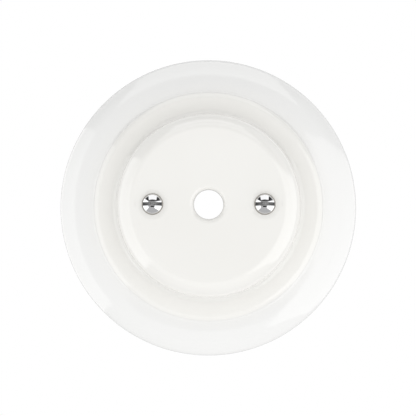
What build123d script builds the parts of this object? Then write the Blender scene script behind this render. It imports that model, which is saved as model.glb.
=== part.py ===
"""A stepped porcelain ceiling canopy with its mounting bar, cover screws and earth terminal.

The frame is the canopy as it hangs: Z is up, Z = 0 is the ceiling that the rim and the bar's feet
lie against, the axis of the cover is the Z axis, and the two cover screws lie along X.
"""

import os
from math import hypot

from build123d import *

# Cover: overall form
RIM_RADIUS = 55.0
COVER_HEIGHT = 26.0
PLATEAU_RADIUS = 33.0
RING_RADIUS = 41.3
RING_DEPTH = 10.2
FLANGE_DEPTH = 7.6
WALL = 4.0
FOOT_WIDTH = 5.5
FACE_THICKNESS = 5.5
CABLE_HOLE_RADIUS = 5.25

# Cover: roundings of the pressed and glazed form
BEVEL_MARGIN = 3.2
BEVEL_HEIGHT = 5.1
BEVEL_ROUND = 4.0
PLATEAU_EDGE = 12.0
PLATEAU_FOOT = 2.2
RING_SHOULDER = 2.6
RING_FOOT = 1.2
RING_FLARE = 1.0
RING_DISH = 0.2
ROLL_LIP = 4.8
ROLL_TOP = 10.6
ROLL_WIDTH = 4.7
ROLL_RISE = 5.0
FLANGE_DISH = 0.3
WALL_DRAFT = 0.5
ROLL_LIMIT = 1.35
FOOT_LIMIT = 0.3
EDGE_LIMIT = 1.8
BEVEL_LIMIT = 0.6
SHOULDER_LIMIT = 0.9
HOLE_LIP = 1.8
INNER_ROUND = 2.4
BREAK = 0.6

# Cover screws, M4 with slotted domed heads
SCREW_SPACING = 40.0
SCREW_LENGTH = 25.0
THREAD_RADIUS = 1.95
HEAD_RADIUS = 3.8
HEAD_HEIGHT = 2.7
HEAD_BAND = 0.35
SLOT_WIDTH = 1.2
SLOT_DEPTH = 1.5
SLOT_LIMIT = 0.56
THREAD_CHAMFER = 0.4
SCREW_HOLE_RADIUS = 2.3
SEAT_DEPTH = 0.25
SEAT_RADIUS = 4.3
SEAT_RIM_RADIUS = 5.5

# Mounting bar, one bent and pierced strap
BAR_THICKNESS = 1.5
BAR_WIDTH = 16.0
BAR_LENGTH = 80.0
BAR_DROP = 3.4
BEND_RADIUS = 1.8
BEND_START = 23.8
BEND_RUN = 2.2
EYE_RADIUS = 14.0
EYE_HOLE_RADIUS = 8.0
LUG_REACH = 18.0
LUG_WIDTH = 10.0
CEILING_SLOT_SPACING = 63.0
CEILING_SLOT_LENGTH = 7.6
CEILING_SLOT_RADIUS = 2.3
COLLAR_HEIGHT = 2.0
COLLAR_RADIUS = 3.1
TAPPED_RADIUS = 2.0
PLAN_ROUND = 3.0

# Earth terminal, M4
EARTH_SCREW_LENGTH = 6.0
EARTH_HEAD_RADIUS = 3.5
EARTH_HEAD_HEIGHT = 2.4
SPRING_RADIUS = 3.4
SPRING_THICKNESS = 0.9
SPRING_GAP = 0.8
CLAMP_SIDE = 8.6
CLAMP_THICKNESS = 0.9
CLAMP_LIP = 0.9
CLAMP_ROUND = 1.0
WASHER_CLEARANCE = 0.2

SEAT_Z = -(COVER_HEIGHT - SEAT_DEPTH)
BAR_TOP_Z = -BAR_DROP
BAR_UNDER_Z = BAR_TOP_Z - BAR_THICKNESS
SCREW_SPOTS = GridLocations(SCREW_SPACING, 0, 2, 1)


def outer_corners():
    """Section of the visible side as (radius, height, rounding), from the foot to the cable hole."""
    crest = RIM_RADIUS - ROLL_WIDTH
    ring_foot = RING_RADIUS + RING_FLARE
    flange = crest - ring_foot
    step = RING_DEPTH - FLANGE_DEPTH + FLANGE_DISH
    bevel_start = SCREW_SPACING / 2 + SEAT_RIM_RADIUS + BEVEL_MARGIN
    slant = hypot(PLATEAU_RADIUS - bevel_start, BEVEL_HEIGHT)
    return [
        (RIM_RADIUS, 0.0, BREAK),
        (RIM_RADIUS, ROLL_RISE - FLANGE_DEPTH, ROLL_LIP),
        (crest, -FLANGE_DEPTH, min(ROLL_TOP, ROLL_LIMIT * flange)),
        (ring_foot, FLANGE_DISH - FLANGE_DEPTH, min(RING_FOOT, FOOT_LIMIT * flange)),
        (RING_RADIUS, -RING_DEPTH, min(RING_SHOULDER, SHOULDER_LIMIT * step)),
        (PLATEAU_RADIUS + WALL_DRAFT, RING_DISH - RING_DEPTH, PLATEAU_FOOT),
        (PLATEAU_RADIUS, BEVEL_HEIGHT - COVER_HEIGHT, min(PLATEAU_EDGE, EDGE_LIMIT * slant)),
        (bevel_start, -COVER_HEIGHT, min(BEVEL_ROUND, BEVEL_LIMIT * slant)),
        (CABLE_HOLE_RADIUS, -COVER_HEIGHT, HOLE_LIP),
    ]


def inner_corners():
    """Section of the hollow side, from the cable hole back to the foot, one wall inside the other."""
    plateau = PLATEAU_RADIUS - WALL
    ring = RING_RADIUS - WALL
    rim = RIM_RADIUS - FOOT_WIDTH
    return [
        (CABLE_HOLE_RADIUS, FACE_THICKNESS - COVER_HEIGHT, BREAK),
        (plateau, FACE_THICKNESS - COVER_HEIGHT, INNER_ROUND),
        (plateau + WALL_DRAFT, WALL - RING_DEPTH, INNER_ROUND),
        (ring, WALL - RING_DEPTH, BREAK),
        (ring + WALL_DRAFT, WALL - FLANGE_DEPTH, BREAK),
        (rim - WALL_DRAFT, WALL - FLANGE_DEPTH, INNER_ROUND),
        (rim, 0.0, BREAK / 2),
    ]


def screw_seat():
    """Cutter for one screw hole: a round seat with a flared edge, and the hole through the face."""
    flare = Cone(
        SEAT_RIM_RADIUS, SEAT_RADIUS, SEAT_DEPTH, align=(Align.CENTER, Align.CENTER, Align.MIN)
    )
    hole = Cylinder(
        SCREW_HOLE_RADIUS, FACE_THICKNESS, align=(Align.CENTER, Align.CENTER, Align.MIN)
    )
    return Pos(0, 0, -COVER_HEIGHT) * (flare + hole)


def porcelain_cover():
    """The hollow stepped cover: one closed section of lines and tangent arcs, turned about Z."""
    corners = outer_corners() + inner_corners()
    with BuildPart() as turned:
        with BuildSketch(Plane.XZ):
            with BuildLine():
                FilletPolyline(
                    *[(radius, height) for radius, height, _ in corners],
                    radius=[rounding for _, _, rounding in corners],
                    close=True,
                )
            make_face()
        revolve(axis=Axis.Z)
    cover = turned.part
    for spot in SCREW_SPOTS:
        cover -= spot * screw_seat()
    face_circles = cover.edges().filter_by(GeomType.CIRCLE).group_by(Axis.Z)[0]
    seat_rims = [e for e in face_circles if abs(e.radius - SEAT_RIM_RADIUS) < BREAK / 10]
    return fillet(seat_rims, SEAT_RIM_RADIUS - SEAT_RADIUS)


def slotted_screw(head_radius, head_height, length):
    """A slotted screw with a domed head below Z = 0 and its shank above, slot along X."""
    cap = head_height - HEAD_BAND
    dome_radius = (head_radius**2 + cap**2) / (2 * cap)
    slot_depth = min(SLOT_DEPTH, SLOT_LIMIT * head_height)
    with BuildPart() as screw:
        with BuildSketch(Plane.XZ):
            with BuildLine():
                top = Line((0, -head_height), (0, length))
                end = Line(top @ 1, (THREAD_RADIUS - THREAD_CHAMFER, length))
                bevel = Line(end @ 1, (THREAD_RADIUS, length - THREAD_CHAMFER))
                shank = Line(bevel @ 1, (THREAD_RADIUS, 0))
                under = Line(shank @ 1, (head_radius, 0))
                band = Line(under @ 1, (head_radius, -HEAD_BAND))
                RadiusArc(band @ 1, top @ 0, dome_radius)
            make_face()
        revolve(axis=Axis.Z)
        with Locations((0, 0, -head_height)):
            Box(2 * head_radius, SLOT_WIDTH, 2 * slot_depth, mode=Mode.SUBTRACT)
    return screw.part


def cover_screws():
    """Both cover screws, with their heads on the seats of the face."""
    screw = Pos(0, 0, SEAT_Z) * slotted_screw(HEAD_RADIUS, HEAD_HEIGHT, SCREW_LENGTH)
    return Compound(children=[spot * screw for spot in SCREW_SPOTS])


def bar_sheet():
    """The strap's sheet before piercing: a wide band bent down from its feet to its middle."""
    half = BAR_LENGTH / 2
    foot_z = -BAR_THICKNESS / 2
    middle_z = BAR_TOP_Z - BAR_THICKNESS / 2
    bend_end = BEND_START + BEND_RUN
    centre_radius = BEND_RADIUS - BAR_THICKNESS / 2
    width = 2 * (LUG_REACH + LUG_WIDTH)
    with BuildPart() as sheet:
        with BuildLine():
            FilletPolyline(
                (-half, 0, foot_z),
                (-bend_end, 0, foot_z),
                (-BEND_START, 0, middle_z),
                (BEND_START, 0, middle_z),
                (bend_end, 0, foot_z),
                (half, 0, foot_z),
                radius=centre_radius,
            )
        with BuildSketch(Plane(origin=(-half, 0, foot_z), z_dir=(1, 0, 0))):
            Rectangle(BAR_THICKNESS, width)
        sweep()
    return sheet.part


def bar_outline():
    """Plan of the strap: a band with round ends, a round eye in the middle and the earth lug."""
    with BuildSketch() as plan:
        SlotOverall(BAR_LENGTH, BAR_WIDTH)
        Circle(EYE_RADIUS)
        with Locations((0, LUG_REACH / 2)):
            Rectangle(LUG_WIDTH, LUG_REACH)
        with Locations((0, LUG_REACH)):
            Circle(LUG_WIDTH / 2)
        inside = plan.vertices().filter_by(lambda v: v.distance_to((0, 0, 0)) < EYE_RADIUS + BREAK)
        fillet(inside, PLAN_ROUND)
        Circle(EYE_HOLE_RADIUS, mode=Mode.SUBTRACT)
        with GridLocations(CEILING_SLOT_SPACING, 0, 2, 1):
            SlotOverall(CEILING_SLOT_LENGTH, 2 * CEILING_SLOT_RADIUS, mode=Mode.SUBTRACT)
    return plan.sketch


def thread_collar():
    """A drawn collar on the upper side of the strap's middle."""
    collar = Cylinder(COLLAR_RADIUS, COLLAR_HEIGHT, align=(Align.CENTER, Align.CENTER, Align.MIN))
    return Pos(0, 0, BAR_TOP_Z) * collar


def mounting_bar():
    """The bent strap, pierced, with threaded collars for the cover screws and the earth screw."""
    depth = BAR_DROP + BAR_THICKNESS
    bar = bar_sheet() & extrude(bar_outline(), amount=-depth)
    bore = Cylinder(TAPPED_RADIUS, 2 * depth)
    for spot in list(SCREW_SPOTS) + [Pos(0, LUG_REACH)]:
        bar += spot * thread_collar()
        bar -= spot * bore
    return bar


def earth_clamp():
    """Square clamp washer under the bar's lug, with two lips that keep the wire in."""
    with BuildPart() as clamp:
        with BuildSketch():
            RectangleRounded(CLAMP_SIDE, CLAMP_SIDE, CLAMP_ROUND)
            Circle(THREAD_RADIUS + WASHER_CLEARANCE, mode=Mode.SUBTRACT)
        extrude(amount=-CLAMP_THICKNESS)
        side = (CLAMP_SIDE - CLAMP_THICKNESS) / 2
        with Locations((-side, 0, -CLAMP_THICKNESS), (side, 0, -CLAMP_THICKNESS)):
            Box(
                CLAMP_THICKNESS,
                CLAMP_SIDE - 2 * CLAMP_ROUND,
                CLAMP_LIP,
                align=(Align.CENTER, Align.CENTER, Align.MAX),
            )
    return Pos(0, LUG_REACH, BAR_UNDER_Z) * clamp.part


def earth_spring_washer():
    """Split spring washer, pressed flat between the clamp and the screw head."""
    with BuildPart() as washer:
        with BuildSketch():
            Circle(SPRING_RADIUS)
            Circle(THREAD_RADIUS + WASHER_CLEARANCE, mode=Mode.SUBTRACT)
            with Locations((0, SPRING_RADIUS)):
                Rectangle(SPRING_GAP, 2 * SPRING_RADIUS - THREAD_RADIUS, mode=Mode.SUBTRACT)
        extrude(amount=-SPRING_THICKNESS)
    return Pos(0, LUG_REACH, BAR_UNDER_Z - CLAMP_THICKNESS) * washer.part


def earth_screw():
    """Earth screw: up through both washers into the lug's collar."""
    head_z = BAR_UNDER_Z - CLAMP_THICKNESS - SPRING_THICKNESS
    screw = slotted_screw(EARTH_HEAD_RADIUS, EARTH_HEAD_HEIGHT, EARTH_SCREW_LENGTH)
    return Pos(0, LUG_REACH, head_z) * screw


PIECES = {
    "porcelain_cover": porcelain_cover,
    "cover_screws": cover_screws,
    "mounting_bar": mounting_bar,
    "earth_clamp": earth_clamp,
    "earth_spring_washer": earth_spring_washer,
    "earth_screw": earth_screw,
}


def main():
    """Write one STEP file for each piece."""
    os.makedirs("parts", exist_ok=True)
    for name, make in PIECES.items():
        export_step(make(), f"parts/{name}.step")


if __name__ == "__main__":
    main()
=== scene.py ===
"""Looks of a porcelain ceiling canopy: glazed cover, chromed screws, zinc-plated bar and earth terminal."""

from __future__ import annotations

import logging
import math
from dataclasses import dataclass, field
from enum import Enum

import bmesh
import bpy
from mathutils import Matrix, Vector

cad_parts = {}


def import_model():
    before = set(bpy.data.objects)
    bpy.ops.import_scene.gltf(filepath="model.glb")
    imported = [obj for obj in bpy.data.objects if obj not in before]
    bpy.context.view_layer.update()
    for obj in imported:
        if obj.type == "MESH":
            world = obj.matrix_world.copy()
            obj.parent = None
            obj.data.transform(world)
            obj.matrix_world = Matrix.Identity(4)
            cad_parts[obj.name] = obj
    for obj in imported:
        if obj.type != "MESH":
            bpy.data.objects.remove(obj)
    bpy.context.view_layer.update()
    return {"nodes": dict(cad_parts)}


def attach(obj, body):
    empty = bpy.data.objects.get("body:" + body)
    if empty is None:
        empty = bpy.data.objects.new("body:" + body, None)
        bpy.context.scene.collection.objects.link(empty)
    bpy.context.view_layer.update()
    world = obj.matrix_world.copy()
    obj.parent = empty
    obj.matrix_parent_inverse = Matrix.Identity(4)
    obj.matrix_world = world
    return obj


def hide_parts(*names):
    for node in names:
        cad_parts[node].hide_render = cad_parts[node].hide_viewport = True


LOG = logging.getLogger("canopy")
BODY = "root"
IMAGE_SIDE = 416
SENSOR_WIDTH = 36.0
MM = 0.001
# Sizes in millimetres that several pieces share.
COVER_HEIGHT = 26.0
SCREW_SPACING = 40.0
SEAT_DEPTH = 0.25
# Edges that turn by more than this stay sharp.
SHARP_DEG = 30.0
WHITE = (1.0, 1.0, 1.0, 1.0)
BLACK = (0.0, 0.0, 0.0, 1.0)

# Short names for types; a pair is a radius and a height, or a width and a height.
Tree = bpy.types.NodeTree
Node = bpy.types.Node
Socket = bpy.types.NodeSocket
Source = Node | Socket
Material = bpy.types.Material
Mesh = bpy.types.Mesh
Object = bpy.types.Object
Shape = bmesh.types.BMesh
Ring = list[bmesh.types.BMVert]
Pair = tuple[float, float]


class Slot(Enum):
    """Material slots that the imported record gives."""

    PORCELAIN = "glazed_porcelain"
    CHROME = "chromed_steel"
    ZINC_BAR = "zinc_plated_steel"
    ZINC_CLAMP = "zinc_plated_clamp"
    ZINC_SCREW = "zinc_plated_screw"
    SPRING = "spring_steel"


class HeadForm(Enum):
    """Forms of a slotted screw head."""

    DOMED = "domed"
    PAN = "pan"


def linear(hex_colour: str) -> tuple[float, float, float, float]:
    """Turn an sRGB hex colour into linear RGBA.

    Args:
        hex_colour: six hex digits after a hash sign.

    Returns:
        Linear red, green and blue, with an alpha of one.
    """
    channels = [int(hex_colour[i : i + 2], 16) / 255 for i in (1, 3, 5)]
    straight = [c / 12.92 if c <= 0.04045 else ((c + 0.055) / 1.055) ** 2.4 for c in channels]
    return (*straight, 1.0)


def per_metre(millimetres: float) -> float:
    """Texture scale for a pattern that repeats about every given number of millimetres."""
    return 1 / (millimetres * MM)


def add_node(tree: Tree, kind: str, inputs: dict | None = None, **settings: object) -> Node:
    """Add one node, with its settings, its input values and its links.

    Args:
        tree: node tree that takes the node.
        kind: Blender's name for the node's type; a shader node's goes without its ShaderNode.
        inputs: input socket name or number to a value, or to what it is linked from: an output
            socket, or a node, which gives its first live output.
        **settings: node properties to set.

    Returns:
        The new node.
    """
    node = tree.nodes.new(kind if "Node" in kind else "ShaderNode" + kind)
    for name, value in settings.items():
        setattr(node, name, value)
    for name, value in (inputs or {}).items():
        if isinstance(value, Node):
            value = next(output for output in value.outputs if output.enabled)
        if isinstance(value, Socket):
            tree.links.new(value, node.inputs[name])
        else:
            node.inputs[name].default_value = value
    return node


def new_material(name: str) -> tuple[Material, Tree]:
    """Make an empty node material.

    Args:
        name: the material's name.

    Returns:
        The material and its cleared node tree.
    """
    material = bpy.data.materials.new(name)
    material.use_nodes = True
    material.node_tree.nodes.clear()
    return material, material.node_tree


@dataclass(frozen=True)
class GlazedPorcelain:
    """Vitreous white porcelain, pressed, dipped in clear glaze and fired standing on its foot.

    The eye sees a warm white body under a wet-looking, faintly uneven gloss, a few iron specks,
    and a dull bare foot where the rim stood in the kiln. The flange is painted a little cooler in
    tone, a painted reflection of the cool room that its glaze mirrors, from flange_top_mm below
    the ceiling upward. The glaze lies smooth on walls steeper than wall_level, the upright share of
    their normal, and is fully uneven above face_level.
    """

    body_hex: str = "#ECEBE8"
    shade_hex: str = "#E8E7E3"
    flange_reflection_hex: str = "#E9E9E8"
    bisque_hex: str = "#E3DCCD"
    speck_hex: str = "#6B5F52"
    glaze_roughness: float = 0.085
    bisque_roughness: float = 0.75
    glaze_ior: float = 1.52
    cloud_mm: float = 26.0
    wave_mm: float = 7.0
    wave_depth_mm: float = 0.05
    peel_mm: float = 1.1
    peel_depth_mm: float = 0.0025
    wall_level: float = 0.15
    face_level: float = 0.6
    speck_spacing_mm: float = 9.0
    speck_radius_mm: float = 0.16
    speck_core: float = 0.4
    speck_share: float = 0.09
    foot_from_mm: float = 0.35
    foot_full_mm: float = 0.175
    foot_grain_mm: float = 3.0
    foot_wander_mm: float = 0.3
    flange_top_mm: float = 9.6
    flange_fade_mm: float = 2.4

    def material(self) -> Material:
        """Build the glaze over the body, bare at the foot.

        Returns:
            The material.
        """
        material, tree = new_material("glazed_porcelain")
        place = add_node(tree, "TexCoord").outputs["Object"]
        body, bare = self._body_colour(tree, place), self._bare_foot(tree, place)
        colour = add_node(
            tree, "Mix", {"Factor": bare, "A": body, "B": linear(self.bisque_hex)}, data_type="RGBA"
        )
        roughness = add_node(
            tree,
            "MapRange",
            {"Value": bare, "To Min": self.glaze_roughness, "To Max": self.bisque_roughness},
        )
        relief = self._relief(tree, place)
        shader = add_node(
            tree,
            "BsdfPrincipled",
            {"Base Color": colour, "Roughness": roughness, "IOR": self.glaze_ior, "Normal": relief},
        )
        add_node(tree, "OutputMaterial", {"Surface": shader})
        return material

    def _body_colour(self, tree: Tree, place: Socket) -> Node:
        """Body colour with soft clouds, a painted cooler reflection tint on the flange and rare iron
        specks.

        Args:
            tree: the material's node tree.
            place: object coordinates.

        Returns:
            The node that gives the colour.
        """
        clouds = add_node(tree, "TexNoise", {"Vector": place, "Scale": per_metre(self.cloud_mm)})
        body = add_node(
            tree,
            "Mix",
            {"Factor": clouds, "A": linear(self.body_hex), "B": linear(self.shade_hex)},
            data_type="RGBA",
        )
        # Painted reflection: the flange takes a cooler tint, for the cool room that its glaze mirrors.
        height = add_node(tree, "SeparateXYZ", {"Vector": place}).outputs["Z"]
        top = -self.flange_top_mm * MM
        fade = self.flange_fade_mm * MM
        low = add_node(tree, "MapRange", {"Value": height, "From Min": top, "From Max": top + fade})
        body = add_node(
            tree, "Mix", {"Factor": low, "A": body, "B": linear(self.flange_reflection_hex)}, data_type="RGBA"
        )
        cells = add_node(tree, "TexVoronoi", {"Vector": place, "Scale": per_metre(self.speck_spacing_mm)})
        radius = self.speck_radius_mm / self.speck_spacing_mm
        near = add_node(
            tree,
            "MapRange",
            {
                "Value": cells.outputs["Distance"],
                "From Min": self.speck_core * radius,
                "From Max": radius,
                "To Min": 1.0,
                "To Max": 0.0,
            },
        )
        lot = add_node(tree, "SeparateColor", {"Color": cells.outputs["Color"]})
        chosen = add_node(tree, "Math", {0: lot.outputs["Red"], 1: self.speck_share}, operation="LESS_THAN")
        speck = add_node(tree, "Math", {0: near, 1: chosen}, operation="MULTIPLY")
        return add_node(
            tree, "Mix", {"Factor": speck, "A": body, "B": linear(self.speck_hex)}, data_type="RGBA"
        )

    def _bare_foot(self, tree: Tree, place: Socket) -> Node:
        """Share of bare body: all of it on the foot's flat, none below a ragged edge.

        Args:
            tree: the material's node tree.
            place: object coordinates.

        Returns:
            The node that gives the share.
        """
        height = add_node(tree, "SeparateXYZ", {"Vector": place}).outputs["Z"]
        ragged = add_node(
            tree, "TexNoise", {"Vector": place, "Scale": per_metre(self.foot_grain_mm), "Detail": 3.0}
        )
        wander = add_node(
            tree, "Math", {0: ragged, 1: self.foot_wander_mm * MM, 2: height}, operation="MULTIPLY_ADD"
        )
        return add_node(
            tree,
            "MapRange",
            {"Value": wander, "From Min": -self.foot_from_mm * MM, "From Max": -self.foot_full_mm * MM},
        )

    def _relief(self, tree: Tree, place: Socket) -> Node:
        """Slow waves of the dipped glaze and its fine orange peel.

        Args:
            tree: the material's node tree.
            place: object coordinates.

        Returns:
            The node that gives the normal.
        """
        upright = add_node(tree, "TexCoord").outputs["Normal"]
        facing = add_node(tree, "SeparateXYZ", {"Vector": upright}).outputs["Z"]
        level = add_node(tree, "Math", {0: facing}, operation="ABSOLUTE")
        calm = add_node(
            tree, "MapRange", {"Value": level, "From Min": self.wall_level, "From Max": self.face_level}
        )
        waves = add_node(
            tree, "TexNoise", {"Vector": place, "Scale": per_metre(self.wave_mm), "Detail": 1.0}
        )
        slow = add_node(
            tree, "Bump", {"Height": waves, "Distance": self.wave_depth_mm * MM, "Strength": calm}
        )
        peel = add_node(
            tree, "TexNoise", {"Vector": place, "Scale": per_metre(self.peel_mm), "Detail": 1.0}
        )
        return add_node(
            tree,
            "Bump",
            {"Height": peel, "Distance": self.peel_depth_mm * MM, "Strength": calm, "Normal": slow},
        )


@dataclass(frozen=True)
class SlotPaintedShade:
    """Dull plating with painted shade and painted light patches in a screw's slot, and painted shade where
    the head meets its seat.

    The slot is painted dark, blacker towards its ends, and a thin grey rim of painted shade lies
    round the bright head. The painted light patches thin out over reach_mm from the slot's middle,
    and the painted rim shade turns grey from rim_from_mm to rim_full_mm below the cover's face.
    """

    # Colours of the painted slot shade, of its painted light patches, and of the painted rim shade.
    slot_hex: str = "#0E0E0E"
    patch_highlight_hex: str = "#CFCFCF"
    rim_shade_hex: str = "#9A958F"
    roughness: float = 0.5
    half_width_mm: float = 0.63
    patch_mm: float = 0.55
    patch_share: float = 1.65
    slot_end_mm: float = 3.45
    reach_mm: float = 3.9
    rim_from_mm: float = 0.85
    rim_full_mm: float = 0.45

    def laid_on(
        self, tree: Tree, place: Socket, colour: Source, roughness: Source
    ) -> tuple[Source, Source]:
        """Paint shade into the slot, with painted light patches, and paint shade on the rim of a plated
        head.

        Args:
            tree: the material's node tree.
            place: object coordinates.
            colour: the clean plating's colour.
            roughness: the clean plating's roughness.

        Returns:
            What gives the new colour and the new roughness.
        """
        axes = add_node(tree, "SeparateXYZ", {"Vector": place}).outputs
        aside = add_node(tree, "Math", {0: axes["Y"]}, operation="ABSOLUTE")
        inside = add_node(tree, "Math", {0: aside, 1: self.half_width_mm * MM}, operation="LESS_THAN")
        across = add_node(tree, "Math", {0: axes["X"]}, operation="ABSOLUTE")
        along = add_node(tree, "Math", {0: across, 1: SCREW_SPACING / 2 * MM}, operation="SUBTRACT")
        out = add_node(tree, "Math", {0: along}, operation="ABSOLUTE")
        short = add_node(tree, "Math", {0: out, 1: self.slot_end_mm * MM}, operation="LESS_THAN")
        inside = add_node(tree, "Math", {0: inside, 1: short}, operation="MULTIPLY")
        middle = add_node(
            tree,
            "MapRange",
            {"Value": out, "From Max": self.reach_mm * MM, "To Min": self.patch_share, "To Max": 0.0},
        )
        patches = add_node(tree, "TexNoise", {"Vector": place, "Scale": per_metre(self.patch_mm)})
        share = add_node(tree, "Math", {0: patches, 1: middle}, operation="MULTIPLY")
        # Painted shade in the slot, lightened by painted light patches towards its middle.
        dark = add_node(
            tree,
            "Mix",
            {"Factor": share, "A": linear(self.slot_hex), "B": linear(self.patch_highlight_hex)},
            data_type="RGBA",
        )
        # Painted shade on the head's edge next to its seat.
        edge = add_node(
            tree,
            "MapRange",
            {
                "Value": axes["Z"],
                "From Min": -(COVER_HEIGHT + self.rim_from_mm) * MM,
                "From Max": -(COVER_HEIGHT + self.rim_full_mm) * MM,
            },
        )
        rimmed = add_node(
            tree, "Mix", {"Factor": edge, "A": colour, "B": linear(self.rim_shade_hex)}, data_type="RGBA"
        )
        shade = add_node(tree, "Mix", {"Factor": inside, "A": rimmed, "B": dark}, data_type="RGBA")
        dull = add_node(tree, "Mix", {"Factor": inside, "A": roughness, "B": self.roughness})
        return shade, dull


@dataclass(frozen=True)
class PlatedSteel:
    """Steel under a thin metal plating, with faint rubbing marks.

    A low roughness gives bright chrome, which mirrors the room; a higher one gives zinc, which
    looks soft grey with a cool tint and cloudy patches from the plating bath. The colour goes
    from bright_hex to dull_hex, and the roughness from low to high, in clouds of cloud_mm. The
    rubbing marks are grain_mm apart.
    """

    name: str
    bright_hex: str
    dull_hex: str
    roughness_low: float
    roughness_high: float
    cloud_mm: float
    grain_mm: float
    grain_depth_mm: float
    painted_shade: SlotPaintedShade | None = None

    def material(self) -> Material:
        """Build the plating.

        Returns:
            The material.
        """
        material, tree = new_material(self.name)
        place = add_node(tree, "TexCoord").outputs["Object"]
        clouds = add_node(
            tree, "TexNoise", {"Vector": place, "Scale": per_metre(self.cloud_mm), "Detail": 4.0}
        )
        colour = add_node(
            tree,
            "Mix",
            {"Factor": clouds, "A": linear(self.bright_hex), "B": linear(self.dull_hex)},
            data_type="RGBA",
        )
        roughness = add_node(
            tree, "MapRange", {"Value": clouds, "To Min": self.roughness_low, "To Max": self.roughness_high}
        )
        if self.painted_shade:
            colour, roughness = self.painted_shade.laid_on(tree, place, colour, roughness)
        grain = add_node(tree, "TexNoise", {"Vector": place, "Scale": per_metre(self.grain_mm)})
        relief = add_node(tree, "Bump", {"Height": grain, "Distance": self.grain_depth_mm * MM})
        shader = add_node(
            tree,
            "BsdfPrincipled",
            {"Base Color": colour, "Metallic": 1.0, "Roughness": roughness, "Normal": relief},
        )
        add_node(tree, "OutputMaterial", {"Surface": shader})
        return material


# Bright decorative chrome over polished steel: a near mirror, a touch darker than silver.
CHROME = PlatedSteel(
    name="bright_chrome_plate",
    bright_hex="#E8E8E9",
    dull_hex="#E1E1E3",
    roughness_low=0.03,
    roughness_high=0.06,
    cloud_mm=3.0,
    grain_mm=0.6,
    grain_depth_mm=0.0006,
    # Painted shade and painted light patches in the slots, and painted shade at the heads' rims.
    painted_shade=SlotPaintedShade(),
)
# Bright zinc on pressed strip: soft grey, cool, cloudy at about ten millimetres.
ZINC = PlatedSteel(
    name="bright_zinc_plate",
    bright_hex="#C6CACD",
    dull_hex="#AEB3B7",
    roughness_low=0.24,
    roughness_high=0.42,
    cloud_mm=9.0,
    grain_mm=0.35,
    grain_depth_mm=0.002,
)
# Oiled spring steel: darker and less blue than zinc.
SPRING_STEEL = PlatedSteel(
    name="oiled_spring_steel",
    bright_hex="#8C8B88",
    dull_hex="#6F6E6B",
    roughness_low=0.28,
    roughness_high=0.45,
    cloud_mm=2.5,
    grain_mm=0.2,
    grain_depth_mm=0.002,
)


def mesh_object(name: str, mesh: Mesh) -> Object:
    """Put a mesh into the scene as an object at the origin.

    Args:
        name: the object's name.
        mesh: its mesh.

    Returns:
        The object.
    """
    obj = bpy.data.objects.new(name, mesh)
    bpy.context.scene.collection.objects.link(obj)
    return obj


def apply_modifiers(obj: Object) -> None:
    """Turn an object's modifiers into plain mesh, under the object's name."""
    graph = bpy.context.evaluated_depsgraph_get()
    mesh = bpy.data.meshes.new_from_object(obj.evaluated_get(graph), depsgraph=graph)
    obj.modifiers.clear()
    obj.data = mesh
    mesh.name = obj.name


def ease_edges(
    obj: Object, width: float, segments: int, limit_deg: float, harden: bool = False
) -> None:
    """Round an object's sharp edges, and turn its modifiers into plain mesh.

    Args:
        obj: the object.
        width: millimetres that each edge loses.
        segments: steps across the rounding.
        limit_deg: edges that turn by more than this are rounded.
        harden: whether the flats beside the edges keep their shading.
    """
    bevel = obj.modifiers.new("edges", "BEVEL")
    bevel.width = width * MM
    bevel.segments = segments
    bevel.limit_method = "ANGLE"
    bevel.angle_limit = math.radians(limit_deg)
    bevel.harden_normals = harden
    apply_modifiers(obj)


def rounded(corners: list[tuple[float, float, float]], step_deg: float) -> list[Pair]:
    """Round the inner corners of an open chain with tangent arcs.

    Args:
        corners: (radius, height, rounding) of each corner in millimetres.
        step_deg: largest turn between neighbouring points of an arc.

    Returns:
        (radius, height) points in metres.
    """
    points = [Vector(corners[0][:2])]
    for (r0, z0, _), (r1, z1, size), (r2, z2, _) in zip(corners, corners[1:], corners[2:]):
        here = Vector((r1, z1))
        back, ahead = (Vector((r0, z0)) - here).normalized(), (Vector((r2, z2)) - here).normalized()
        turn = math.pi - back.angle(ahead)
        middle = here + (back + ahead).normalized() * size / math.cos(turn / 2)
        first = here + back * size * math.tan(turn / 2) - middle
        hand = 1 if back.cross(ahead) < 0 else -1
        count = max(2, math.ceil(math.degrees(turn) / step_deg))
        for step in range(count + 1):
            spoke = first.copy()
            spoke.rotate(Matrix.Rotation(hand * turn * step / count, 2))
            points.append(middle + spoke)
    points.append(Vector(corners[-1][:2]))
    return [(point.x * MM, point.y * MM) for point in points]


def skin(shape: Shape, rings: list[Ring]) -> None:
    """Skin a row of rings; a ring of one vertex closes to a point.

    Args:
        shape: mesh that takes the faces.
        rings: the rings, in order.
    """
    for low, high in zip(rings, rings[1:]):
        for step in range(max(len(low), len(high))):
            spots = ((low, step), (low, step + 1), (high, step + 1), (high, step))
            corners = [ring[place % len(ring)] for ring, place in spots]
            shape.faces.new(list(dict.fromkeys(corners)))


def turn_rings(shape: Shape, profile: list[Pair], segments: int, centre_x: float = 0.0) -> list[Ring]:
    """Turn a chain about a vertical line and skin it.

    Args:
        shape: mesh that takes the faces.
        profile: (radius, height) points in metres.
        segments: number of steps round the line.
        centre_x: place of the line along X, in metres.

    Returns:
        The rings of vertices, in the profile's order; a point on the line gives a ring of one.
    """
    turns = [2 * math.pi * step / segments for step in range(segments)]
    rings = []
    for radius, height in profile:
        around = turns if radius > 0 else [0.0]
        spots = [(centre_x + radius * math.cos(a), radius * math.sin(a), height) for a in around]
        rings.append([shape.verts.new(spot) for spot in spots])
    skin(shape, rings)
    return rings


def fill_between(shape: Shape, rings: list[Ring]) -> None:
    """Fill the flat area that several rings enclose.

    Args:
        shape: mesh that holds the rings.
        rings: one outer ring and the rings of its holes, in one plane.
    """
    edges = [shape.edges.get((ring[i - 1], ring[i])) for ring in rings for i in range(len(ring))]
    bmesh.ops.triangle_fill(shape, edges=edges, use_beauty=True, normal=(0, 0, 1))


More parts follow.
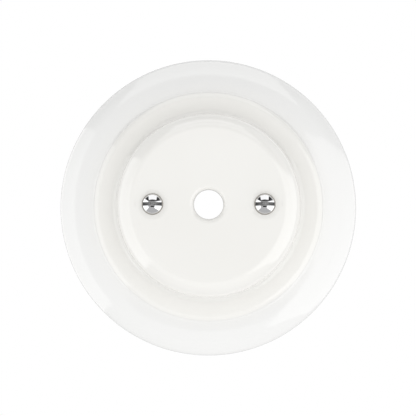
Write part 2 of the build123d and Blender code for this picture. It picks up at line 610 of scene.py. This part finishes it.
def to_mesh(shape: Shape, name: str, smooth_deg: float = SHARP_DEG) -> Mesh:
    """Turn a bmesh into a mesh that is smooth except at sharp edges.

    Args:
        shape: the bmesh, freed here.
        name: the mesh's name.
        smooth_deg: edges sharper than this stay sharp.

    Returns:
        The mesh.
    """
    limit = math.radians(smooth_deg)
    for face in shape.faces:
        face.smooth = True
    for edge in shape.edges:
        edge.smooth = len(edge.link_faces) == 2 and edge.calc_face_angle() < limit
    mesh = bpy.data.meshes.new(name)
    shape.to_mesh(mesh)
    shape.free()
    return mesh


@dataclass
class SlottedScrew:
    """One slotted metric screw, head downward, seat at its own zero height.

    All sizes are in millimetres.
    """

    head_radius: float
    head_height: float
    head_band: float
    shank_length: float
    form: HeadForm
    slot_width: float
    slot_depth: float
    thread_radius: float = 1.95
    pitch: float = 0.7
    thread_depth: float = 0.38
    head_segments: int = 96
    thread_segments: int = 40
    dome_steps: int = 20
    edge_round: float = 0.12
    edge_segments: int = 3
    edge_deg: float = 35.0
    samples_per_turn: int = 8
    crest_share: float = 0.14
    flank_share: float = 0.33
    thread_sharp_deg: float = 40.0

    def mesh(self, name: str) -> Mesh:
        """Build the head and the threaded shank as one mesh.

        Args:
            name: the mesh's name.

        Returns:
            The mesh, seat at zero height.
        """
        head = self._head(name + "_head")
        whole = bmesh.new()
        whole.from_mesh(head.data)
        whole.from_mesh(self._shank(name + "_shank"))
        bpy.data.objects.remove(head)
        mesh = bpy.data.meshes.new(name)
        whole.to_mesh(mesh)
        whole.free()
        return mesh

    def _head_profile(self) -> list[Pair]:
        """Section of the head, from the axis at its crown to the axis at its seat."""
        cap = self.head_height - self.head_band
        if self.form is HeadForm.DOMED:
            ball = (self.head_radius**2 + cap**2) / (2 * cap)
            reach = math.asin(self.head_radius / ball)
            angles = [reach * step / self.dome_steps for step in range(self.dome_steps + 1)]
            crown = [(ball * math.sin(a), ball - self.head_height - ball * math.cos(a)) for a in angles]
        else:
            angles = [math.pi / 2 * step / self.dome_steps for step in range(self.dome_steps + 1)]
            flat = self.head_radius - cap
            crown = [(0.0, -self.head_height)] + [
                (flat + cap * math.sin(a), -self.head_band - cap * math.cos(a)) for a in angles
            ]
        profile = crown + [(self.head_radius, 0.0), (0.0, 0.0)]
        return [(radius * MM, height * MM) for radius, height in profile]

    def _head(self, name: str) -> Object:
        """Head with its slot cut and its edges lightly rounded.

        Args:
            name: a working name.

        Returns:
            A working object that holds the finished head mesh.
        """
        shape = bmesh.new()
        turn_rings(shape, self._head_profile(), self.head_segments)
        bmesh.ops.recalc_face_normals(shape, faces=shape.faces)
        head = mesh_object(name, to_mesh(shape, name))
        block = bmesh.new()
        bmesh.ops.create_cube(block, size=1.0)
        size = Vector((4 * self.head_radius, self.slot_width, 2 * self.slot_depth)) * MM
        bmesh.ops.scale(block, vec=size, verts=block.verts)
        bmesh.ops.translate(block, vec=(0, 0, -self.head_height * MM), verts=block.verts)
        cutter = mesh_object(name + "_cutter", to_mesh(block, name + "_cutter"))
        cut = head.modifiers.new("slot", "BOOLEAN")
        cut.operation = "DIFFERENCE"
        cut.object = cutter
        cut.solver = "EXACT"
        ease_edges(head, self.edge_round, self.edge_segments, self.edge_deg)
        bpy.data.objects.remove(cutter)
        return head

    def _radius_at(self, phase: float) -> float:
        """Thread radius at a phase of its turn: flat crest, straight flanks, flat root."""
        crest, flank = self.crest_share, self.flank_share
        outer, inner = self.thread_radius, self.thread_radius - self.thread_depth
        if phase < crest:
            return outer
        if phase < crest + flank:
            return outer + (inner - outer) * (phase - crest) / flank
        if phase < 1 - flank:
            return inner
        return inner + (outer - inner) * (phase - 1 + flank) / flank

    def _shank(self, name: str) -> Mesh:
        """Threaded shank: a closed surface whose radius follows the helix, run out at both ends.

        Args:
            name: the mesh's name.

        Returns:
            The mesh.
        """
        shape = bmesh.new()
        rows = int(self.shank_length / self.pitch * self.samples_per_turn)
        inner = self.thread_radius - self.thread_depth
        rings = []
        for row in range(rows + 1):
            height = self.shank_length * row / rows
            fade = min(1.0, height / self.pitch, (self.shank_length - height) / self.pitch)
            ring = []
            for step in range(self.thread_segments):
                turn = step / self.thread_segments
                radius = inner + fade * (self._radius_at((height / self.pitch - turn) % 1) - inner)
                angle = 2 * math.pi * turn
                spot = Vector((math.cos(angle) * radius, math.sin(angle) * radius, height))
                ring.append(shape.verts.new(spot * MM))
            rings.append(ring)
        skin(shape, rings)
        shape.faces.new(rings[0])
        shape.faces.new(rings[-1])
        bmesh.ops.recalc_face_normals(shape, faces=shape.faces)
        return to_mesh(shape, name, self.thread_sharp_deg)


def repeat_along_x(material: Material) -> Tree:
    """Geometry Nodes tree that sets copies of its mesh out along X, centred on the origin.

    Args:
        material: finish that the result takes.

    Returns:
        The tree, with inputs Geometry, Count and Spacing.
    """
    tree = bpy.data.node_groups.new("set_out_along_x", "GeometryNodeTree")
    face = tree.interface
    face.new_socket("Geometry", in_out="INPUT", socket_type="NodeSocketGeometry")
    face.new_socket("Count", in_out="INPUT", socket_type="NodeSocketInt")
    face.new_socket("Spacing", in_out="INPUT", socket_type="NodeSocketFloat")
    face.new_socket("Geometry", in_out="OUTPUT", socket_type="NodeSocketGeometry")
    given = add_node(tree, "NodeGroupInput").outputs
    step = add_node(tree, "CombineXYZ", {"X": given["Spacing"]})
    gaps = add_node(tree, "Math", {0: given["Count"], 1: 1.0}, operation="SUBTRACT")
    back = add_node(tree, "Math", {0: gaps, 1: -0.5}, operation="MULTIPLY")
    start = add_node(tree, "Math", {0: back, 1: given["Spacing"]}, operation="MULTIPLY")
    origin = add_node(tree, "CombineXYZ", {"X": start})
    line = add_node(
        tree,
        "GeometryNodeMeshLine",
        {"Count": given["Count"], "Start Location": origin, "Offset": step},
        mode="OFFSET",
    )
    copies = add_node(tree, "GeometryNodeInstanceOnPoints", {"Points": line, "Instance": given["Geometry"]})
    real = add_node(tree, "GeometryNodeRealizeInstances", {"Geometry": copies})
    dressed = add_node(tree, "GeometryNodeSetMaterial", {"Geometry": real, "Material": material})
    add_node(tree, "NodeGroupOutput", {"Geometry": dressed})
    return tree


def set_out(obj: Object, material: Material, **inputs: float) -> None:
    """Run the set-out tree on an object and keep its result as plain mesh.

    Args:
        obj: object that holds one copy.
        material: finish of the copies.
        **inputs: values for the tree's named inputs.
    """
    tree = repeat_along_x(material)
    modifier = obj.modifiers.new("set_out", "NODES")
    modifier.node_group = tree
    for item in tree.interface.items_tree:
        if item.in_out == "INPUT" and item.name in inputs:
            modifier[item.identifier] = inputs[item.name]
    apply_modifiers(obj)


def ride_in_place(obj: Object, node: str) -> None:
    """Let a finished piece stand for a node of the frame, and log it.

    Args:
        obj: the piece, in its place.
        node: the node that it replaces.
    """
    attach(obj, BODY)
    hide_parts(node)
    LOG.info("%s: %d faces", obj.name, len(obj.data.polygons))


def dress(obj: Object, material: Material) -> None:
    """Give every material slot of an object the same finish."""
    if not obj.data.materials:
        obj.data.materials.append(material)
    for place in obj.material_slots:
        place.material = material


@dataclass
class PorcelainCover:
    """The pressed and turned cover, as one fine surface with its screw seats.

    Sizes are in millimetres, and depths and heights run down from the ceiling. The flange is
    gently convex between the ring's foot and the roll.
    """

    rim_radius: float = 55.0
    height: float = COVER_HEIGHT
    plateau_radius: float = 33.0
    bevel_start: float = 28.7
    bevel_height: float = 5.1
    ring_radius: float = 41.3
    ring_depth: float = 10.2
    flange_depth: float = 7.9
    wall: float = 4.0
    foot_width: float = 5.5
    face_thickness: float = 5.5
    hole_radius: float = 5.25
    bevel_round: float = 4.0
    plateau_edge: float = 12.0
    plateau_foot: float = 2.2
    ring_shoulder: float = 2.6
    ring_foot: float = 1.2
    ring_flare: float = 1.0
    ring_dish: float = 0.2
    flange_bend_radius: float = 46.0
    flange_bend_depth: float = 7.38
    flange_round: float = 26.0
    roll_radius: float = 51.0
    roll_depth: float = 5.87
    roll_top: float = 10.6
    rim_depth: float = 2.6
    roll_lip: float = 4.2
    inner_flange_depth: float = 7.2
    wall_draft: float = 0.5
    hole_lip: float = 1.8
    inner_round: float = 2.4
    edge_break: float = 0.6
    foot_break: float = 0.3
    hole_break: float = 0.2
    seat_spacing: float = SCREW_SPACING
    seat_depth: float = SEAT_DEPTH
    seat_radius: float = 4.3
    seat_round: float = 2.0
    seat_rim_radius: float = 5.5
    seat_rim_round: float = 3.0
    screw_hole_radius: float = 2.3
    margin: float = 0.35
    outer_step_deg: float = 3.0
    inner_step_deg: float = 9.0
    segments: int = 256
    seat_segments: int = 96
    smooth_deg: float = 60.0
    weld: float = 0.0001
    finish: GlazedPorcelain = field(default_factory=GlazedPorcelain)

    def build(self) -> None:
        """Model and glaze the cover."""
        shape = bmesh.new()
        outside = turn_rings(shape, self._outside(), self.segments)
        inside = turn_rings(shape, self._inside(), self.segments)
        bore = turn_rings(shape, self._bore(), self.segments)
        skin(shape, [outside[-1], inside[0]])
        seats = [
            turn_rings(shape, self._seat(), self.seat_segments, side * self.seat_spacing * MM / 2)
            for side in (-1, 1)
        ]
        fill_between(shape, [outside[0], bore[-1]] + [seat[0] for seat in seats])
        fill_between(shape, [inside[-1], bore[0]] + [seat[-1] for seat in seats])
        bmesh.ops.remove_doubles(shape, verts=shape.verts, dist=self.weld * MM)
        bmesh.ops.recalc_face_normals(shape, faces=shape.faces)
        piece = mesh_object("glazed_cover", to_mesh(shape, "glazed_cover", self.smooth_deg))
        dress(piece, self.finish.material())
        ride_in_place(piece, "porcelain_cover")

    def _outside(self) -> list[Pair]:
        """Visible side, from the face's flat to the middle of the rim's foot."""
        slope = math.atan2(self.bevel_height, self.plateau_radius - self.bevel_start)
        start = self.bevel_start - self.bevel_round * math.tan(slope / 2) - 2 * self.margin
        corners = [
            (start + self.margin, -self.height, 0.0),
            (self.bevel_start, -self.height, self.bevel_round),
            (self.plateau_radius, self.bevel_height - self.height, self.plateau_edge),
            (self.plateau_radius + self.wall_draft, self.ring_dish - self.ring_depth, self.plateau_foot),
            (self.ring_radius, -self.ring_depth, self.ring_shoulder),
            (self.ring_radius + self.ring_flare, -self.flange_depth, self.ring_foot),
            (self.flange_bend_radius, -self.flange_bend_depth, self.flange_round),
            (self.roll_radius, -self.roll_depth, self.roll_top),
            (self.rim_radius, -self.rim_depth, self.roll_lip),
            (self.rim_radius, 0.0, self.edge_break),
            (self.rim_radius - self.foot_width / 2, 0.0, 0.0),
        ]
        return [(start * MM, -self.height * MM)] + rounded(corners, self.outer_step_deg)

    def _inside(self) -> list[Pair]:
        """Hollow side, from the rim's foot to the flat behind the face."""
        plateau = self.plateau_radius - self.wall
        ring = self.ring_radius - self.wall
        rim = self.rim_radius - self.foot_width
        back = self.face_thickness - self.height
        end = plateau - self.inner_round - self.margin
        corners = [
            (self.rim_radius - self.foot_width / 2 - self.margin, 0.0, 0.0),
            (rim, 0.0, self.foot_break),
            (rim - self.wall_draft, self.wall - self.inner_flange_depth, self.inner_round),
            (ring + self.wall_draft, self.wall - self.inner_flange_depth, self.edge_break),
            (ring, self.wall - self.ring_depth, self.edge_break),
            (plateau + self.wall_draft, self.wall - self.ring_depth, self.inner_round),
            (plateau, back, self.inner_round),
            (end, back, 0.0),
        ]
        return rounded(corners, self.inner_step_deg) + [((end - self.margin) * MM, back * MM)]

    def _bore(self) -> list[Pair]:
        """Cable hole, from the flat behind the face to the face."""
        back = self.face_thickness - self.height
        start = self.hole_radius + self.edge_break + 2 * self.margin
        end = self.hole_radius + self.hole_lip + self.margin
        corners = [
            (start - self.margin, back, 0.0),
            (self.hole_radius, back, self.edge_break),
            (self.hole_radius, -self.height, self.hole_lip),
            (end, -self.height, 0.0),
        ]
        chain = rounded(corners, self.outer_step_deg)
        return [(start * MM, back * MM)] + chain + [((end + self.margin) * MM, -self.height * MM)]

    def _seat(self) -> list[Pair]:
        """One screw seat and its hole, from the face to the flat behind it."""
        back = self.face_thickness - self.height
        start = self.seat_rim_radius + self.margin
        floor = self.seat_depth - self.height
        corners = [
            (start, -self.height, 0.0),
            (self.seat_rim_radius, -self.height, self.seat_rim_round),
            (self.seat_radius, floor, self.seat_round),
            (self.screw_hole_radius, floor, self.hole_break),
            (self.screw_hole_radius, back, self.hole_break),
            (self.screw_hole_radius + self.margin, back, 0.0),
        ]
        chain = rounded(corners, self.outer_step_deg)
        outer = ((start + self.margin) * MM, -self.height * MM)
        inner = ((self.screw_hole_radius + 2 * self.margin) * MM, back * MM)
        return [outer] + chain + [inner]


@dataclass
class CoverScrews:
    """The two chromed cover screws, set out along X with their slots in line."""

    spacing: float = SCREW_SPACING
    seat_depth: float = COVER_HEIGHT - SEAT_DEPTH
    count: int = 2
    screw: SlottedScrew = field(
        default_factory=lambda: SlottedScrew(
            head_radius=3.8, head_height=2.7, head_band=0.35, shank_length=25.0,
            form=HeadForm.DOMED, slot_width=1.2, slot_depth=1.5,
        )
    )

    def build(self, chrome: Material) -> None:
        """Make both screws as one piece.

        Args:
            chrome: their finish.
        """
        mesh = self.screw.mesh("chromed_cover_screws")
        mesh.transform(Matrix.Translation((0, 0, -self.seat_depth * MM)))
        piece = mesh_object("chromed_cover_screws", mesh)
        set_out(piece, chrome, Count=self.count, Spacing=self.spacing * MM)
        ride_in_place(piece, "cover_screws")


@dataclass
class PressedParts:
    """Pieces stamped from sheet or strip: the frame's shapes with their edges eased."""

    edge_round: float = 0.14
    edge_segments: int = 2
    flat_deg: float = 0.5
    weld: float = 0.001

    def build(self, node: Object, name: str, slot: Slot, metal: Material) -> None:
        """Copy a node, ease its edges and put it in the node's place.

        Args:
            node: the frame's node.
            name: the new piece's name.
            slot: its material slot; not used.
            metal: its finish.
        """
        shape = bmesh.new()
        shape.from_mesh(node.data)
        bmesh.ops.remove_doubles(shape, verts=shape.verts, dist=self.weld * MM)
        flat = math.radians(self.flat_deg)
        bmesh.ops.dissolve_limit(shape, angle_limit=flat, verts=shape.verts, edges=shape.edges)
        piece = mesh_object(name, to_mesh(shape, name))
        ease_edges(piece, self.edge_round, self.edge_segments, SHARP_DEG, harden=True)
        dress(piece, metal)
        ride_in_place(piece, node.name)


@dataclass
class EarthTerminal:
    """Earth screw, spring washer and clamp on the bar's lug."""

    reach: float = 18.0
    seat_depth: float = 6.7
    screw: SlottedScrew = field(
        default_factory=lambda: SlottedScrew(
            head_radius=3.5, head_height=2.4, head_band=1.0, shank_length=6.0,
            form=HeadForm.PAN, slot_width=1.2, slot_depth=1.34,
        )
    )

    def build(
        self, nodes: dict[str, Object], pressed: PressedParts, zinc: Material, spring: Material
    ) -> None:
        """Make the three pieces.

        Args:
            nodes: the frame's nodes by name.
            pressed: builder of stamped pieces.
            zinc: finish of the clamp and the screw.
            spring: finish of the washer.
        """
        pressed.build(nodes["earth_clamp"], "stamped_earth_clamp", Slot.ZINC_CLAMP, zinc)
        pressed.build(nodes["earth_spring_washer"], "split_spring_washer", Slot.SPRING, spring)
        mesh = self.screw.mesh("slotted_earth_screw")
        mesh.transform(Matrix.Translation((0, self.reach * MM, -self.seat_depth * MM)))
        piece = mesh_object("slotted_earth_screw", mesh)
        dress(piece, zinc)
        ride_in_place(piece, "earth_screw")


@dataclass
class PhotoCamera:
    """The photograph's viewpoint: below the canopy, looking up, a little off its axis.

    Distances are in millimetres, and the outline centre is in the photograph's pixels.
    """

    distance: float = 560.0
    tilt_deg: float = 2.55
    lean_deg: float = 0.25
    outline_depth: float = 3.0
    pixels_per_mm: float = 2.697
    outline_x: float = 208.4
    outline_y: float = 207.0
    near_clip: float = 10.0

    def build(self) -> None:
        """Make the camera and set it as the scene's."""
        data = bpy.data.cameras.new("photo_camera")
        data.sensor_width = SENSOR_WIDTH
        data.lens = self.pixels_per_mm * self.distance * SENSOR_WIDTH / IMAGE_SIDE
        data.shift_x = (IMAGE_SIDE / 2 - self.outline_x) / IMAGE_SIDE
        data.shift_y = (self.outline_y - IMAGE_SIDE / 2) / IMAGE_SIDE
        data.clip_start = self.near_clip * MM
        camera = bpy.data.objects.new("photo_camera", data)
        bpy.context.scene.collection.objects.link(camera)
        tilt, lean = math.tan(math.radians(self.tilt_deg)), math.tan(math.radians(self.lean_deg))
        forward = Vector((lean, -tilt, 1)).normalized()
        right = Vector((0, 1, 0)).cross(forward).normalized()
        up = right.cross(forward)
        turn = Matrix((right, up, -forward)).transposed().to_4x4()
        aim = Vector((0, 0, -self.outline_depth * MM))
        camera.matrix_world = Matrix.Translation(aim - forward * self.distance * MM) @ turn
        bpy.context.scene.camera = camera


def turned_place(centre: tuple[float, float, float], back: Vector) -> Matrix:
    """Place at a centre in metres, turned so that the back looks the given way."""
    return Matrix.Translation(Vector(centre)) @ back.to_track_quat("Z", "Y").to_matrix().to_4x4()


def stage_sheet(name: str, size: Pair, place: Matrix, finish: Material, mirrored: bool) -> None:
    """Make a flat sheet that casts no shadow and keeps no light from the canopy.

    Args:
        name: its name.
        size: its width and height in metres.
        place: where it lies.
        finish: its material.
        mirrored: whether mirrors alone see it, or the camera alone.
    """
    shape = bmesh.new()
    bmesh.ops.create_grid(shape, x_segments=1, y_segments=1, size=0.5)
    spread = Matrix.Diagonal((*size, 1.0, 1.0))
    bmesh.ops.transform(shape, matrix=place @ spread, verts=shape.verts)
    sheet = mesh_object(name, to_mesh(shape, name))
    dress(sheet, finish)
    sheet.visible_camera = not mirrored
    sheet.visible_glossy = mirrored
    sheet.visible_diffuse = False
    sheet.visible_shadow = False


@dataclass(frozen=True)
class DarkCard:
    """A black card that only mirrors see.

    Args:
        name: its name.
        centre: its place, in metres from the canopy.
        width: metres across, along X.
        height: metres across, the other way.
    """

    name: str
    centre: tuple[float, float, float]
    width: float
    height: float

    def build(self) -> None:
        """Make the card, turned to face the canopy."""
        # Matt black card, which bright surfaces mirror as a dark patch.
        black, tree = new_material("black_card")
        matt = add_node(tree, "BsdfDiffuse", {"Color": BLACK})
        add_node(tree, "OutputMaterial", {"Surface": matt})
        place = turned_place(self.centre, -Vector(self.centre))
        stage_sheet(self.name, (self.width, self.height), place, black, mirrored=True)


@dataclass(frozen=True)
class Softbox:
    """A flat soft lamp that only mirrors see.

    Args:
        name: its name.
        centre: its place, in metres from the canopy.
        facing: the way that it faces.
        width: metres across, along the horizon.
        height: metres across, the other way.
        radiance: brightness of its face, where 1 is white.
    """

    name: str
    centre: tuple[float, float, float]
    facing: tuple[float, float, float]
    width: float
    height: float
    radiance: float

    def build(self) -> None:
        """Make the lamp."""
        data = bpy.data.lights.new(self.name, "AREA")
        data.shape = "RECTANGLE"
        data.size = self.width
        data.size_y = self.height
        data.energy = self.radiance * math.pi * self.width * self.height
        lamp = bpy.data.objects.new(self.name, data)
        bpy.context.scene.collection.objects.link(lamp)
        lamp.matrix_world = turned_place(self.centre, -Vector(self.facing))
        lamp.visible_camera = False
        lamp.visible_diffuse = False


@dataclass(frozen=True)
class SoftDome:
    """Soft light from all round, in bands of height, each with a lean of its own.

    Args:
        bands: height from straight below, at -1, upward, then the strength there, how much
            stronger it is from +Y, and how much stronger from both ends of X.
        from_right: how much stronger all of it is from +X.
        offset: what a band's numbers gain so that none is below zero in the ramp.
        peak: what they are then divided by, so that none is above one.
    """

    bands: tuple[tuple[float, float, float, float], ...] = (
        (-1.0, 1.28, 0.0, 0.0),
        (-0.85, 1.28, -0.04, 0.0),
        (-0.6, 1.12, 0.48, -0.15),
        (-0.3, 0.74, 0.32, 0.0),
        (0.0, 0.74, 0.05, 0.45),
        (0.3, 1.27, -0.30, 0.0),
        (0.6, 0.92, 0.0, 0.0),
    )
    from_right: float = 0.06
    offset: float = 1.0
    peak: float = 3.0

    def build(self, tree: Tree, way: Socket) -> Node:
        """Build the strength as a function of direction.

        Args:
            tree: the world's node tree.
            way: the ray's direction.

        Returns:
            The node that gives the strength.
        """
        axes = add_node(tree, "SeparateXYZ", {"Vector": way}).outputs
        place = add_node(tree, "MapRange", {"Value": axes["Z"], "From Min": -1.0, "From Max": 1.0})
        curve = add_node(tree, "ValToRGB", {"Fac": place})
        stops = curve.color_ramp.elements
        stops.remove(stops[1])
        for index, (height, *values) in enumerate(self.bands):
            stop = stops.new((height + 1) / 2) if index else stops[0]
            stop.position = (height + 1) / 2
            stop.color = (*[(value + self.offset) / self.peak for value in values], 1.0)
        spread = add_node(
            tree,
            "VectorMath",
            {0: curve, 1: (self.peak,) * 3, 2: (-self.offset,) * 3},
            operation="MULTIPLY_ADD",
        )
        square = add_node(tree, "Math", {0: axes["X"], 1: axes["X"]}, operation="MULTIPLY")
        shares = add_node(tree, "CombineXYZ", {"X": 1.0, "Y": axes["Y"], "Z": square})
        summed = add_node(tree, "VectorMath", {0: spread, 1: shares}, operation="DOT_PRODUCT")
        return add_node(
            tree, "Math", {0: axes["X"], 1: self.from_right, 2: summed}, operation="MULTIPLY_ADD"
        )


@dataclass
class Studio:
    """Pale floor, white surround, soft dome, and the panels that bright surfaces mirror.

    Args:
        floor_depth: metres from the ceiling plane down to the floor.
        floor_side: metres across the floor.
        floor_hex: the floor's paint.
        floor_white: share of plain white in what the camera sees of the floor.
        mirrored_grey: brightness of the room that mirrors see below the canopy.
        mirrored_dark: its brightness at its dark side, towards -Y.
        dark_from: Y of a direction up to which the room is darkest.
        grey_from: Y of a direction from which it is all grey.
        mirrored_backdrop: brightness that mirrors see above the canopy.
        backdrop_from: height of a direction at which the backdrop starts.
        backdrop_full: height of a direction from which only the backdrop shows.
        dome: the light from all round.
        card: the dark card.
        lamps: the panels and the softbox.
    """

    floor_depth: float = 1.5
    floor_side: float = 24.0
    floor_hex: str = "#F4F4F2"
    floor_white: float = 0.85
    mirrored_grey: float = 0.55
    mirrored_dark: float = 0.03
    dark_from: float = -0.62
    grey_from: float = -0.25
    mirrored_backdrop: float = 0.6
    backdrop_from: float = 0.0
    backdrop_full: float = 0.15
    dome: SoftDome = field(default_factory=SoftDome)
    card: DarkCard = DarkCard("black_card", (0.0, 0.45, -1.1), 0.8, 0.24)
    lamps: tuple[Softbox, ...] = (
        Softbox("left_panel", (-1.0, 0.12, 0.05), (1, 0, 0), 1.66, 2.3, 1.15),
        Softbox("right_panel", (0.87, 0.25, -0.24), (-0.94, 0, 0.34), 1.4, 2.2, 1.15),
        Softbox("upper_softbox", (0.0, -0.765, -0.11), (0, 0.833, 0.552), 0.89, 0.96, 1.2),
    )

    def build(self) -> None:
        """Make the floor, the world, the lamps and the card."""
        self._floor()
        self._world()
        self.card.build()
        for lamp in self.lamps:
            lamp.build()
        LOG.info("studio: %d lamps", len(self.lamps))

    def _floor(self) -> None:
        """A pale floor well below the canopy, which takes its shadow and lets the dome's light by."""
        # Matt pale paint, nearly as white as the surround, so that no horizon shows.
        paint, tree = new_material("pale_studio_floor")
        matt = add_node(tree, "BsdfDiffuse", {"Color": linear(self.floor_hex)})
        lit = add_node(tree, "Emission", {"Color": WHITE})
        path = add_node(tree, "LightPath")
        share = add_node(
            tree, "Math", {0: path.outputs["Is Camera Ray"], 1: self.floor_white}, operation="MULTIPLY"
        )
        mixed = add_node(tree, "MixShader", {0: share, 1: matt, 2: lit})
        add_node(tree, "OutputMaterial", {"Surface": mixed})
        place = Matrix.Translation((0, 0, -self.floor_depth))
        stage_sheet("studio_floor", (self.floor_side, self.floor_side), place, paint, mirrored=False)

    def _world(self) -> None:
        """White to the camera, a soft dome for light, and a plain room for reflections."""
        world = bpy.data.worlds.new("studio")
        bpy.context.scene.world = world
        world.use_nodes = True
        tree = world.node_tree
        tree.nodes.clear()
        path = add_node(tree, "LightPath")
        way = add_node(tree, "TexCoord").outputs["Generated"]
        axes = add_node(tree, "SeparateXYZ", {"Vector": way}).outputs
        room = add_node(
            tree,
            "MapRange",
            {
                "Value": axes["Y"],
                "From Min": self.dark_from,
                "From Max": self.grey_from,
                "To Min": self.mirrored_dark,
                "To Max": self.mirrored_grey,
            },
        )
        behind = add_node(
            tree,
            "MapRange",
            {"Value": axes["Z"], "From Min": self.backdrop_from, "From Max": self.backdrop_full},
        )
        mirrored = add_node(tree, "Mix", {"Factor": behind, "A": room, "B": self.mirrored_backdrop})
        soft = add_node(
            tree,
            "Mix",
            {"Factor": path.outputs["Is Glossy Ray"], "A": self.dome.build(tree, way), "B": mirrored},
        )
        seen = add_node(
            tree,
            "Math",
            {0: path.outputs["Is Camera Ray"], 1: path.outputs["Is Transmission Ray"]},
            operation="MAXIMUM",
        )
        strength = add_node(tree, "Mix", {"Factor": seen, "A": soft, "B": 1.0})
        light = add_node(tree, "Background", {"Color": WHITE, "Strength": strength})
        add_node(tree, "OutputWorld", {"Surface": light})


def corners(box: tuple) -> list[list[float]]:
    """A box as plain lists of numbers."""
    return [[float(value) for value in corner] for corner in box]


def main() -> None:
    """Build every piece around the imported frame."""
    logging.basicConfig(level=logging.INFO, format="%(name)s: %(message)s")
    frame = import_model()
    nodes = frame["nodes"]
    bpy.context.scene.view_settings.view_transform = "Standard"
    chrome, zinc, spring = CHROME.material(), ZINC.material(), SPRING_STEEL.material()
    PorcelainCover().build()
    CoverScrews().build(chrome)
    pressed = PressedParts()
    pressed.build(nodes["mounting_bar"], "stamped_mounting_bar", Slot.ZINC_BAR, zinc)
    EarthTerminal().build(nodes, pressed, zinc, spring)
    Studio().build()
    PhotoCamera().build()


if __name__ == "__main__":
    main()
